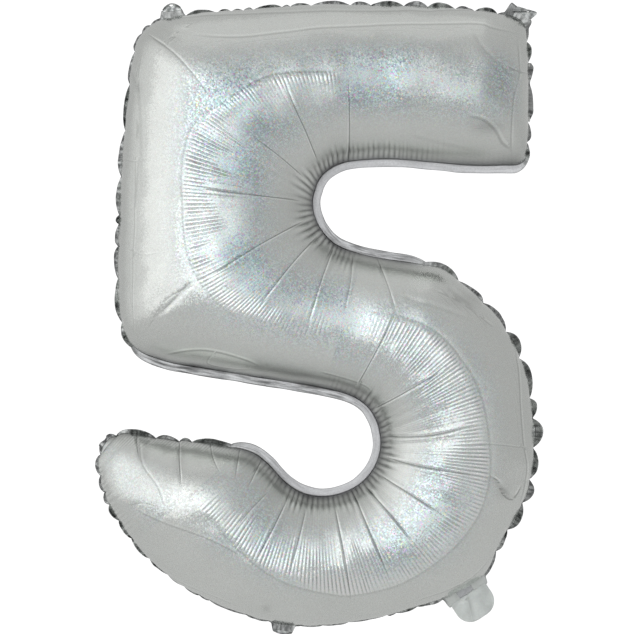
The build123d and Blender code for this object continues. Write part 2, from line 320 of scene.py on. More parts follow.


# Lines pressed into the foil with little depth, each with painted shade along it and a painted highlight beside it:
# points, strength, half width in mm.
LINES = [
    (px([(150, 24), (190, 21), (270, 17), (345, 15), (414, 13), (470, 13), (505, 19), (521, 36)]), 0.30, 1.7),
    (px([(182, 36), (198, 41), (242, 43), (310, 35), (366, 31), (414, 29), (474, 29), (492, 33), (527, 38)]), 0.36, 1.6),
    (px([(516, 39), (517, 78), (510, 103), (508, 137), (511, 162)]), 0.36, 1.3),
    (px([(503, 70), (517, 75), (531, 75)]), 0.5, 1.0),
    (px([(148, 38), (142, 72), (140, 120), (137, 208), (135, 290), (137, 350)]), 0.34, 1.0),
    (px([(150, 38), (164, 48), (170, 52)]), 0.5, 1.0),
    (px([(152, 40), (178, 60), (200, 85), (212, 103)]), 0.55, 1.2),
    (px([(170, 46), (182, 36), (196, 28)]), 0.4, 1.1),
    (px([(512, 340), (516, 380), (520, 440), (524, 472), (516, 512)]), 0.42, 1.2),
    (px([(484, 472), (494, 478), (499, 491), (510, 497), (520, 482)]), 0.75, 1.3),
    (px([(470, 440), (500, 443), (526, 447)]), 0.3, 1.0),
    (px([(131, 504), (166, 519), (211, 535), (252, 556)]), 0.34, 1.5),
    (px([(140, 436), (144, 462), (160, 484), (168, 505)]), 0.42, 1.5),
    (px([(464, 120), (480, 124), (492, 134), (500, 146), (511, 152)]), 0.42, 2.4),
    (px([(130, 503), (146, 500), (160, 503)]), 0.4, 1.0),
    (px([(238, 448), (262, 444), (296, 452), (300, 470)]), 0.3, 1.2),
    (px([(200, 285), (170, 300), (150, 330)]), 0.3, 1.3),
    (px([(430, 290), (462, 305), (494, 330)]), 0.3, 1.3),
    (px([(164, 355), (190, 351), (216, 352), (248, 360), (262, 367)]), 0.62, 1.5),
    (px([(216, 352), (208, 364), (234, 369), (256, 369)]), 0.34, 1.1),
    (px([(318, 372), (340, 377), (362, 384), (372, 392)]), 0.5, 1.3),
    (px([(410, 600), (440, 590), (470, 574), (492, 552)]), 0.25, 1.1),
    (px([(150, 560), (190, 584), (240, 604)]), 0.2, 1.1),
]


# Painted soft shade patches: centre, reach in mm each way, how dark.
SHADOWS = [
    (px([(484, 130)])[0], (20.0, 8.0), 0.24),
    (px([(262, 132)])[0], (26.0, 13.0), 0.20),
    (px([(267, 605)])[0], (6.0, 6.0), 0.14),
    (px([(500, 488)])[0], (9.0, 9.0), 0.22),
    (px([(462, 300)])[0], (30.0, 9.0), 0.14),
    (px([(146, 452)])[0], (7.0, 16.0), 0.14),
    (px([(182, 458)])[0], (7.0, 16.0), 0.14),
]


def crease_field(x, z, gain, seed):
    # Height of the long creases, and for the painted shade along each crease and line and the painted highlight beside
    # it: distance in line widths, strength.
    out = np.zeros_like(x)
    side, crease_shade_strength = np.full(x.shape, 6.0), np.zeros_like(x)
    rng = np.random.default_rng(seed)
    everything = [(rounded(p, 5), d, w, (0.9 if w < 2 else 0.45) * min((d / 2.6) ** 1.5, 1), False) for p, d, w in CREASES]
    everything += [(rounded(p, 5), (1.4 if w < 1.5 else 0.7) * k, w, k, True) for p, k, w in LINES]
    for points, depth, spread, strength, faint in everything:
        if not depth:
            continue
        depth *= 0.62 * gain * rng.uniform(0.85, 1.1)
        # Only the points near enough to the line to feel it.
        box = (
            (x > points[:, 0].min() - 30) & (x < points[:, 0].max() + 30)
            & (z > points[:, 1].min() - 30) & (z < points[:, 1].max() + 30)
        )
        i = np.nonzero(box)
        best, sign, along = off_line(x[i], z[i], points)
        taper = step(-0.02, 0.10, along) * (1 - step(0.62, 1.0, along)) ** 0.8
        if faint:
            taper = step(0.0, 0.15, along) * (1 - step(0.85, 1.0, along))
        d = np.sqrt(best**2 + 0.2)
        out[i] -= depth * taper * np.exp(-d / (0.9 * spread))
        out[i] += 0.20 * depth * taper * np.exp(-(((d - 3.0 * spread) / (2.6 * spread)) ** 2))
        w = 0.95 if spread < 1.15 else spread
        take = (best / w < np.abs(side[i])) & (best / w < 5)
        side[i] = np.where(take, sign * best / w, side[i])
        crease_shade_strength[i] = np.where(take, strength * taper, crease_shade_strength[i])
    return out, side, crease_shade_strength


def lobes(length, seed, low=20.0, high=58.0):
    # Irregular scallops along an edge: where each is pinched (0) and full (1), and its side.
    rng = np.random.default_rng(seed)
    ends = np.cumsum(rng.uniform(low, high, 400) * rng.choice([0.55, 1.0, 1.15], 400))
    sides = np.where(rng.uniform(size=401) < 0.5, -1.0, 1.0) * rng.uniform(0.35, 1.0, 401)
    sizes = rng.uniform(0.45, 1.0, 401)
    peaks = rng.uniform(0.3, 0.7, 401)
    i = np.searchsorted(ends, length)
    start = np.concatenate([[0], ends])[i]
    t = (length - start) / (ends[i] - start)
    size = sizes[i] * np.clip((ends[i] - start) / 34, 0.5, 1)
    t = np.where(t < peaks[i], 0.5 * t / peaks[i], 0.5 + 0.5 * (t - peaks[i]) / (1 - peaks[i]))
    full = np.sin(math.pi * t) ** 0.72 * size
    return full, sides[i] * np.sin(math.pi * t), 1 - np.sin(math.pi * np.clip(t, 0, 1)) ** 0.5


def edge_run(p):
    return np.concatenate([[0], np.cumsum(np.linalg.norm(np.diff(p, axis=0), axis=1))])


full_a, side_a, pinch_a = lobes(edge_run(A), 11)
full_b, side_b, pinch_b = lobes(edge_run(B), 12)
# How far the scallops stand out, by section.
stand_a = np.interp(u, [0, 31, 33, 36, 38.5, 41, 43, 46, 51, 54, 56, 60], [0.6, 0.5, 0.85, 1.0, 0.8, 0.45, 0.2, 0.1, 0.1, 0.25, 0.6, 0.6])
stand_b = np.interp(u, [0, 2, 6, 10, 14, 17, 20, 22, 53, 56, 60], [0.6, 0.6, 0.5, 0.42, 0.4, 0.42, 0.5, 0.4, 0.5, 0.65, 0.6])
full_a, pinch_a, side_a = full_a * stand_a, pinch_a * (0.3 + 0.7 * stand_a), side_a * (0.3 + 0.7 * stand_a)
full_b, pinch_b, side_b = full_b * stand_b, pinch_b * (0.3 + 0.7 * stand_b), side_b * (0.3 + 0.7 * stand_b)


def panel(side, seed, gain):
    # One domed panel as a grid of points, mm. side is -1 for the front.
    across = A[None] + (B - A)[None] * share[..., None]
    p = np.stack([across[..., 0], side * half[None, :] * lift, across[..., 1]], -1)
    tu = np.gradient(p, axis=1)
    tv = np.gradient(p, axis=0)
    n = np.cross(tu, tv)
    n /= np.maximum(np.linalg.norm(n, axis=-1, keepdims=True), 1e-9)
    centre = np.stack([mid[:, 0], np.zeros(COLUMNS), mid[:, 1]], -1)[None]
    out = np.sign(((p - centre) * n).sum(-1, keepdims=True))
    n = n * np.where(out == 0, 1, out)
    x, z = p[..., 0], p[..., 2]
    arc = np.concatenate(
        [np.zeros((1, COLUMNS)), np.cumsum(np.linalg.norm(np.diff(p, axis=0), axis=2), 0)]
    )
    total = arc[-1][None]
    to_a, to_b = arc, total - arc
    end = np.minimum(
        step(0, 26, from_bar + 2) + (u > 8), 1
    ) * np.minimum(step(0, 26, from_hook + 1) + (u < 45), 1)
    hold = np.minimum(step(0, 14, to_a), step(0, 14, to_b)) * end[None]
    d, wave, off = pucker(seed, gain)
    d, wave = d * end[None], wave * end[None]
    pressed, side_of, crease_shade_strength = crease_field(x, z, gain, seed)
    d += pressed * (0.25 + 0.75 * hold) * hold**0.3
    soft = noise2(x / 70 + 40, z / 70 + 40, seed + 1) * 1.7
    soft += noise2(x / 31 + 40, z / 31 + 40, seed + 2) * 0.7
    d += soft * hold
    # Pinches of the outer seams, running a little way into the panel.
    for to_edge, smooth, full, pinch in (
        (to_a, smooth_a, full_a, pinch_a),
        (to_b, smooth_b, full_b, pinch_b),
    ):
        loose = (1 - smooth)[None]
        d += loose * (1.6 * full[None] * np.exp(-((to_edge / 17) ** 2)))
        d -= loose * (4.6 * pinch[None] * np.exp(-to_edge / 15))
        d += loose * hold * 0.5 * noise1(edge_run(mid) / 9, seed + 7)[None] * np.exp(-to_edge / 40)
    p = p + n * d[..., None]
    for row, smooth, tilt in ((0, smooth_a, side_a), (ROWS - 1, smooth_b, side_b)):
        for k in range(5):
            i = row + k if row == 0 else row - k
            p[i, :, 1] += (1 - smooth) * tilt * 2.4 * end * (1 - k / 5) ** 2
    p[0, :, 1] = (1 - smooth_a) * side_a * 2.4 * end
    p[-1, :, 1] = (1 - smooth_b) * side_b * 2.4 * end
    # Tone: painted shade where the foil turns under at a smooth seam, and painted shade and highlight in places
    # elsewhere.
    tight = np.clip((outer / inner - 1) / 1.2, 0, 1)
    tone = np.ones_like(d)
    calm = np.zeros_like(d)
    for to_edge, smooth, mine in ((to_a, smooth_a, inner_is_a), (to_b, smooth_b, ~inner_is_a)):
        painted_seam_shade = blur(smooth * np.where(mine, 0.50 + 0.24 * tight, 0.42), 14)
        s_mm = to_edge + 3.0 * noise1(edge_run(mid) / 26, seed + 8)[None]
        tone *= 1 - painted_seam_shade[None] * np.exp(-((s_mm / 26) ** 2)) - 0.34 * painted_seam_shade[None] * np.exp(-((s_mm / 52) ** 2))
        tone *= 1 - 0.26 * smooth[None] * np.exp(-((to_edge / 8) ** 2))
        calm = np.maximum(calm, smooth[None] * (1 - step(70, 125, to_edge)))
    crest_at = np.exp(-(((angle - math.radians(94)) / math.radians(24)) ** 2))
    # Painted shade over the crest near the bar's end, and painted highlight over the crest of the band.
    tone *= 1 - (0.13 * (1 - step(8.0, 11.0, u)) * step(2.0, 4.0, u))[None] * crest_at
    tone *= 1 + (0.20 * step(21, 23, u) * (1 - step(28, 30, u)))[None] * crest_at
    # Painted shade patches.
    for (cx, cz), (rx, rz), painted_shade in SHADOWS:
        tone *= 1 - painted_shade * np.exp(-(((x - cx) / rx) ** 2) - ((z - cz) / rz) ** 2)
    # Painted shade along the top edge of the hook.
    hook_top = step(52.5, 54.5, u)[None]
    tone *= 1 - 0.42 * hook_top * np.exp(-((to_b / 17) ** 2))
    calm = np.maximum(calm, hook_top * (1 - step(60, 115, to_b)))
    # Painted shade over the left upright's belt beyond the ring.
    tone *= 1 - 0.055 * (step(12, 14, u) * (1 - step(22, 25, u)))[None] * step(0, 14, off)
    # Fine folds along the hook's top edge, only as painted shade and highlight in the wave.
    fine_top, _ = ridges(edge_run(B) / 4.4, seed + 90, 0.3, 0.01)
    wave += 0.8 * hook_top * fine_top[None] * step(4, 9, to_b) * (1 - step(24, 40, to_b + 8 * noise1(edge_run(B) / 9, seed + 91)[None])) * end[None]
    marks = {"tone": tone, "calm": calm, "wave": wave, "off": np.clip(off, -60, 60), "line": side_of, "painted_crease_shade": crease_shade_strength * hold**0.5}
    return p, n, marks


def new_object(name, points, faces, smooth=True):
    mesh = bpy.data.meshes.new(name)
    mesh.from_pydata([tuple(v) for v in points], [], faces)
    mesh.validate()
    mesh.update()
    if smooth:
        mesh.polygons.foreach_set("use_smooth", [True] * len(mesh.polygons))
    o = bpy.data.objects.new(name, mesh)
    bpy.context.scene.collection.objects.link(o)
    return o


def grid_faces(rows, columns, flip=False, offset=0):
    i = np.arange(rows - 1)[:, None] * columns + np.arange(columns - 1)[None] + offset
    f = np.stack([i, i + 1, i + columns + 1, i + columns], -1).reshape(-1, 4)
    return f[:, ::-1].tolist() if flip else f.tolist()


def mark(o, name, values):
    a = o.data.attributes.new(name, "FLOAT", "POINT")
    a.data.foreach_set("value", np.asarray(values, np.float32).ravel())


front, front_n, front_marks = panel(-1, 101, 1.0)
back, back_n, back_marks = panel(1, 202, 0.95)
back[0], back[-1] = front[0], front[-1]
back[:, 0], back[:, -1] = front[:, 0], front[:, -1]

front_obj = new_object("foil_front", front.reshape(-1, 3) / 1000, grid_faces(ROWS, COLUMNS, False))
back_obj = new_object("foil_back", back.reshape(-1, 3) / 1000, grid_faces(ROWS, COLUMNS, True))
# Painted sparkle: a band across the tube, by section, where glitter colour is painted in as the foil faces the front
# light.
centre = np.radians(np.interp(
    u, [0, 9, 12, 15, 18, 21, 26, 30, 34, 40, 44, 50, 60], [90, 88, 84, 86, 82, 80, 85, 84, 90, 86, 84, 74, 74]
))
reach_in = np.radians(np.interp(u, [0, 9, 12, 60], [25, 25, 29, 29]))
painted_sparkle = np.exp(-np.abs((angle - centre[None]) / reach_in[None]) ** 3) * ((1 - 0.6 * step(52, 55, u)) * step(1.8, 3.4, u) * (1 - 0.25 * step(22, 28, u)))[None]
for o, marks in ((front_obj, front_marks), (back_obj, back_marks)):
    mark(o, "painted_sparkle_zone", painted_sparkle)
    # ring: where the ring's end gets its painted shade line and painted highlight strip.
    mark(o, "ring", np.broadcast_to((ring_on * ring_line)[None], angle.shape))
    for name, values in marks.items():
        mark(o, name, values)

# ------------------------------------------------------------------ the sealed margin
loop = np.concatenate([
    np.stack([A[:, 0], A[:, 1]], 1)[::-1],
    np.stack([B[:, 0], B[:, 1]], 1),
])
seam = np.concatenate([front[0][::-1], front[-1]])
loop_smooth = np.concatenate([smooth_a[::-1], smooth_b])
loop_full = np.concatenate([full_a[::-1], full_b])
loop_side = np.concatenate([side_a[::-1], side_b])
# Extra points along the two ends of the stroke, where the loop crosses from edge to edge.
end_bar = np.linspace(0, 1, 60)[1:-1, None]
end_hook = np.linspace(0, 1, 10)[1:-1, None]
gap_bar = front[0][0] * (1 - end_bar) + front[-1][0] * end_bar
gap_hook = front[-1][-1] * (1 - end_hook) + front[0][-1] * end_hook
wave, lean, _ = lobes(np.linspace(0, 80, 58), 13)
wave2, lean2, _ = lobes(np.linspace(0, 14, 8), 14)
gap_bar[:, 1] = 0
seam = np.concatenate([front[0][::-1], gap_bar, front[-1], gap_hook])
zero = np.zeros
loop_smooth = np.concatenate([smooth_a[::-1], zero(58), smooth_b, zero(8)])
loop_full = np.concatenate([full_a[::-1], wave, full_b, wave2])
loop_side = np.concatenate([side_a[::-1], lean, side_b, lean2])
flat_loop = np.concatenate([
    A[::-1],
    A[0] * (1 - end_bar) + B[0] * end_bar,
    B,
    B[-1] * (1 - end_hook) + A[-1] * end_hook,
])


def ring_blur(v, n):
    k = np.exp(-0.5 * (np.arange(-3 * n, 3 * n + 1) / n) ** 2)
    k /= k.sum()
    w = np.concatenate([v[-3 * n :], v, v[: 3 * n]])
    if w.ndim == 1:
        return np.convolve(w, k, "valid")
    return np.stack([np.convolve(w[:, c], k, "valid") for c in range(w.shape[1])], 1)


tangent = ring_blur(np.roll(flat_loop, -1, 0) - np.roll(flat_loop, 1, 0), 3)
tangent /= np.maximum(np.linalg.norm(tangent, axis=1, keepdims=True), 1e-9)
outward = np.stack([tangent[:, 1], -tangent[:, 0]], 1)
area = 0.5 * np.sum(
    flat_loop[:, 0] * np.roll(flat_loop[:, 1], -1) - np.roll(flat_loop[:, 0], -1) * flat_loop[:, 1]
)
if area < 0:
    outward = -outward
loop_run = np.concatenate([[0], np.cumsum(np.linalg.norm(np.diff(flat_loop, axis=0), axis=1))])
reach_loose = 1.5 + 10.5 * loop_full
reach_smooth = 11.3 + 0.5 * noise1(loop_run / 23, 31)
reach = loop_smooth * reach_smooth + (1 - loop_smooth) * reach_loose
reach = ring_blur(reach, 2)
tilt_loose = loop_side * 0.75 + 0.25 * noise1(loop_run / 8, 33)
tilt_smooth = 0.10 * noise1(loop_run / 30, 34)
tilt = loop_smooth * tilt_smooth + (1 - loop_smooth) * tilt_loose

# Painted light on the smooth flange, by section: how white it is painted, which also lowers its metallic.
painted_flange_light_a = np.interp(u, [0, 2, 9, 12, 20, 23, 26, 30], [0.75, 0.85, 0.95, 1.0, 0.95, 0.6, 0.42, 0.4])
painted_flange_light_b = np.interp(u, [21, 24, 29, 32, 34, 44, 51, 53], [0.35, 0.30, 0.42, 0.75, 0.9, 0.95, 0.8, 0.5])
painted_flange_light = np.concatenate([painted_flange_light_a[::-1], zero(58) + 0.5, painted_flange_light_b, zero(8) + 0.5])
smooth_soft = ring_blur(loop_smooth, 10)
FEET = {
    "tail": (np.array((203.1, -374.5)) + SHIFT, np.array((0.55, -0.835)), 57.0),
    "left": (np.array((-197.6, 410.2)) + SHIFT, np.array((-0.134, 0.991)), 25.0),
    "right": (np.array((277.0, 408.8)) + SHIFT, np.array((0.743, 0.670)), 25.0),
    "tie": (np.array((-45.5, -423.8)) + SHIFT, np.array((-0.155, -0.988)), 25.0),
}
for name, (root, axis, w) in FEET.items():
    axis /= np.linalg.norm(axis)
    t = np.array((axis[1], -axis[0]))
    rel = flat_loop - root
    near = (np.abs(rel @ axis) < 30) * (1 - step(w / 2 - 1, w / 2 + 5, np.abs(rel @ t)))
    reach = reach * (1 - near) + (12.5 - rel @ axis) * near
    tilt = tilt * (1 - near) + 0.0 * near
    if name == "tail":
        plain = near
        smooth_soft = np.maximum(smooth_soft, near)
        painted_flange_light = painted_flange_light * (1 - near) + 0.62 * near
STEPS = 8
rows = []
for k in range(STEPS):
    f = k / (STEPS - 1)
    lean = f**1.4
    r = np.empty_like(seam)
    r[:, 0] = seam[:, 0] + outward[:, 0] * reach * f * np.cos(tilt * 0.6)
    r[:, 2] = seam[:, 2] + outward[:, 1] * reach * f * np.cos(tilt * 0.6)
    r[:, 1] = seam[:, 1] * (1 - 0.2 * f) + 10.5 * np.sin(tilt) * lean
    ripple = 0.10 * np.sin(loop_run / 1.9 + 3 * noise1(loop_run / 15, 35)) * (1 - loop_smooth)
    r[:, 1] += ripple * f
    rows.append(r)
ring = np.stack(rows)
count = ring.shape[1]
ring_faces = []
for k in range(STEPS - 1):
    i = np.arange(count)
    j = (i + 1) % count
    ring_faces += np.stack(
        [k * count + i, k * count + j, (k + 1) * count + j, (k + 1) * count + i], -1
    ).tolist()
seam_obj = new_object("edge_seam", ring.reshape(-1, 3) / 1000, ring_faces)
mark(seam_obj, "smooth", np.tile(smooth_soft, STEPS))
mark(seam_obj, "painted_flange_light", np.tile(painted_flange_light, STEPS))
mark(seam_obj, "plain", np.tile(ring_blur(plain, 4), STEPS))
mark(seam_obj, "run", np.tile(loop_run, STEPS))
mark(seam_obj, "out", np.repeat(np.linspace(0, 1, STEPS), count))
thick = seam_obj.modifiers.new("film", "SOLIDIFY")
thick.thickness = 0.0005
thick.offset = 0


# ------------------------------------------------------------------ tabs
def bend(d, start, turn, over):
    # Where a strip that starts to curl at start has got to, d from its root: out and sideways.
    t = np.clip(d - start, 0, None)
    rate = turn / over
    a = np.minimum(t, over) * rate
    flat = np.minimum(d, start)
    out = flat + np.sin(a) / rate + np.clip(t - over, 0, None) * np.cos(turn)
    lift = (1 - np.cos(a)) / rate + np.clip(t - over, 0, None) * np.sin(turn)
    return out, lift


def make_tab(name, foot, curl, start, over, twist, seed, corner=6.0, slant=0.0, dome=0.0):
    root, axis, w = FEET[foot]
    t = np.array((axis[1], -axis[0]))
    near, far, hole, r = 9.5, 26.0, 19.0, 2.5
    nd, nw = 34, 46
    d = np.linspace(near, far, nd)
    s = np.linspace(-1, 1, nw)
    over_corner = np.clip(d - (far - corner), 0, corner)
    half_w = w / 2 - corner + np.sqrt(corner**2 - over_corner**2)
    dd, ss = np.meshgrid(d, s, indexing="ij")
    ww = ss * half_w[:, None]
    # Push the grid off the hole so that its rim is round.
    gap = np.hypot(ww, dd - hole)
    keep = gap > 1.7
    pull = np.where((gap < 4.6) & keep, r + (gap - 1.7) * (4.6 - r) / (4.6 - 1.7), gap)
    ww = np.where(keep, ww * pull / np.maximum(gap, 1e-6), ww)
    dd = np.where(keep, hole + (dd - hole) * pull / np.maximum(gap, 1e-6), dd)
    out, lift = bend(dd, start + slant * (ww + w / 2) - dome * ww**2, curl, over)
    lift = lift + twist * ww * (dd - near) / (far - near)
    lift += 0.35 * noise2(ww / 5 + 9, dd / 5 + 9, seed) * step(near + 2, far, dd)
    p = np.stack(
        [
            root[0] + axis[0] * out + t[0] * ww,
            -lift,
            root[1] + axis[1] * out + t[1] * ww,
        ],
        -1,
    )
    faces = []
    for i in range(nd - 1):
        for j in range(nw - 1):
            if keep[i, j] and keep[i + 1, j] and keep[i + 1, j + 1] and keep[i, j + 1]:
                a = i * nw + j
                faces.append((a, a + 1, a + nw + 1, a + nw))
    o = new_object(name, p.reshape(-1, 3) / 1000, faces)
    b = bmesh.new()
    b.from_mesh(o.data)
    bmesh.ops.delete(b, geom=[v for v in b.verts if not v.link_faces], context="VERTS")
    b.to_mesh(o.data)
    b.free()
    m = o.modifiers.new("film", "SOLIDIFY")
    m.thickness = 0.0005
    m.offset = 0
    return o


tab_left = make_tab("tab_hang_left", "left", 2.2, 16.5, 7.5, 0.03, 51, 11.5, 0.0, 0.042)
tab_right = make_tab("tab_hang_right", "right", 2.7, 9.8, 5.0, -0.03, 52, 3.0, 0.62)
tab_tie = make_tab("tab_tie", "tie", -2.3, 12.4, 5.4, 0.03, 53, 10.0, 0.0, 0.018)


# ------------------------------------------------------------------ the tail and its valve
def make_tail(name, side, seed):
    root, axis, w = FEET["tail"]
    t = np.array((axis[1], -axis[0]))
    near, far, corner = 9.5, 46.5, 21.0
    nd, nw = 60, 84
    d = np.linspace(near, far, nd)
    s = np.linspace(-1, 1, nw)
    over_corner = np.clip(d - (far - corner), 0, corner)
    half_w = w / 2 - corner + np.sqrt(corner**2 - over_corner**2)
    dd, ss = np.meshgrid(d, s, indexing="ij")
    ww = ss * half_w[:, None]
    free = step(near + 1, near + 9, dd)
    lift = 0.7 * np.cos(ww / 29 * math.pi * 0.9) * free * (dd - near) / 30
    lift += 0.6 * noise2(ww / 21 + 3, dd / 27 + 5, 61) * free
    lift += 0.06 * noise2(ww / 6 + 3, dd / 11 + 5, 62) * free
    lift += 0.010 * (dd - near) ** 2 * 0.35
    fold = ww * 0.94 - (dd - 20) * 0.34 - 6.0
    lift += 1.5 * np.exp(-np.abs(fold) / 3.4) * free
    puff = 1.1 * free * np.clip(1 - (ss * 1.06) ** 2, 0, 1)
    gap = np.maximum(puff + 0.12 * noise2(ww / 12, dd / 16, seed) * free, 0.12)
    p = np.stack(
        [
            root[0] + axis[0] * dd + t[0] * ww,
            -lift + side * gap,
            root[1] + axis[1] * dd + t[1] * ww,
        ],
        -1,
    )
    o = new_object(name, p.reshape(-1, 3) / 1000, grid_faces(nd, nw, side > 0))
    m = o.modifiers.new("film", "SOLIDIFY")
    m.thickness = 0.0003
    m.offset = 0
    return o


tail_front = make_tail("tail_front", -1, 71)
tail_back = make_tail("tail_back", 1, 72)


def make_valve(name, side):
    root, axis, _ = FEET["tail"]
    t = np.array((axis[1], -axis[0]))
    nd, nw = 60, 16
    dd, ww = np.meshgrid(np.linspace(9.0, -123, nd), np.linspace(-13, 13, nw), indexing="ij")
    free = step(0, 40, -dd)
    lift = 2.2 * np.sin(-dd / 31) * free + side * (0.03 + 0.12 * step(2, 9, -dd) + 0.35 * free * (1 - (ww / 13) ** 2))
    p = np.stack(
        [root[0] + axis[0] * dd + t[0] * ww, lift, root[1] + axis[1] * dd + t[1] * ww], -1
    )
    o = new_object(name, p.reshape(-1, 3) / 1000, grid_faces(nd, nw, side > 0))
    m = o.modifiers.new("film", "SOLIDIFY")
    m.thickness = 0.0002
    m.offset = 0
    return o


valve_front = make_valve("valve_film_front", -1)
valve_back = make_valve("valve_film_back", 1)


# ------------------------------------------------------------------ materials
def nodes_of(name):
    m = bpy.data.materials.new(name)
    m.use_nodes = True
    t = m.node_tree
    t.nodes.clear()
    out = t.nodes.new("ShaderNodeOutputMaterial")
    s = t.nodes.new("ShaderNodeBsdfPrincipled")
    t.links.new(s.outputs[0], out.inputs[0])
    return m, t, s


class Tree:
    # Short names for the nodes the foils are made of.
    def __init__(self, name):
        self.m, self.t, self.s = nodes_of(name)
        self.place = self.new("TexCoord").outputs["Object"]

    def new(self, kind, **settings):
        n = self.t.nodes.new("ShaderNode" + kind)
        for key, value in settings.items():
            setattr(n, key, value)
        return n

    def put(self, socket, value):
        if isinstance(value, bpy.types.NodeSocket):
            self.t.links.new(value, socket)
        else:
            socket.default_value = value

    def op(self, operation, a, b=None, clamp=False):
        n = self.new("Math", operation=operation, use_clamp=clamp)
        self.put(n.inputs[0], a)
        if b is not None:
            self.put(n.inputs[1], b)
        return n.outputs[0]

    def attr(self, name):
        n = self.new("Attribute")
        n.attribute_name = name
        return n.outputs["Fac"]

    def ramp(self, value, a, b, lo=0.0, hi=1.0):
        n = self.new("MapRange", interpolation_type="SMOOTHSTEP")
        self.put(n.inputs["Value"], value)
        for key, v in (("From Min", a), ("From Max", b), ("To Min", lo), ("To Max", hi)):
            n.inputs[key].default_value = v
        return n.outputs[0]

    def noise(self, scale, detail=3.0, vector=None):
        n = self.new("TexNoise")
        n.inputs["Scale"].default_value = scale
        n.inputs["Detail"].default_value = detail
        self.put(n.inputs["Vector"], vector if vector is not None else self.place)
        return n.outputs[0]

    def flakes(self, scale):
        n = self.new("TexVoronoi")
        n.inputs["Scale"].default_value = scale
        self.put(n.inputs["Vector"], self.place)
        split = self.new("SeparateColor")
        self.put(split.inputs[0], n.outputs["Color"])
        return n.outputs["Color"], split.outputs

    def mix(self, a, b, factor):
        n = self.new("Mix", data_type="RGBA")
        self.put(n.inputs["A"], (*a, 1) if isinstance(a, tuple) else a)
        self.put(n.inputs["B"], (*b, 1) if isinstance(b, tuple) else b)
        self.put(n.inputs["Factor"], factor)
        return n.outputs["Result"]

    def scaled(self, color, value):
        n = self.new("VectorMath", operation="SCALE")
        self.put(n.inputs[0], color)
        self.put(n.inputs["Scale"], value)
        return n.outputs[0]

    def lean(self, color, amount, bump_height, bump_strength=0.22, distance=0.0004):
        # Each flake leans its own way, over a fine grain.
        away = self.new("VectorMath", operation="SUBTRACT")
        self.put(away.inputs[0], color)
        away.inputs[1].default_value = (0.5, 0.5, 0.5)
        bump = self.new("Bump")
        bump.inputs["Strength"].default_value = bump_strength
        bump.inputs["Distance"].default_value = distance
        self.put(bump.inputs["Height"], bump_height)
        total = self.new("VectorMath", operation="ADD")
        self.put(total.inputs[0], bump.outputs[0])
        self.put(total.inputs[1], self.scaled(away.outputs[0], amount))
        unit = self.new("VectorMath", operation="NORMALIZE")
        self.put(unit.inputs[0], total.outputs[0])
        self.put(self.s.inputs["Normal"], unit.outputs[0])


def glitter_of(k, channels):
    # The colour a flake throws: mostly blue and green, now and then any colour, light or dull.
    odd = k.op("GREATER_THAN", channels[2], 0.80)
    usual = k.op("ADD", k.op("MULTIPLY", channels[1], 0.20), 0.44)
    hue = k.op("ADD", k.op("MULTIPLY", odd, channels[1]), k.op("MULTIPLY", k.op("SUBTRACT", 1.0, odd), usual))
    hsv = k.new("CombineColor", mode="HSV")
    k.put(hsv.inputs[0], hue)
    k.put(hsv.inputs[1], k.op("ADD", k.op("MULTIPLY", channels[2], 0.40), 0.09))
    k.put(hsv.inputs[2], k.op("ADD", k.op("MULTIPLY", k.op("POWER", channels[0], 2.4), 0.85), 0.48, True))
    return hsv.outputs[0]


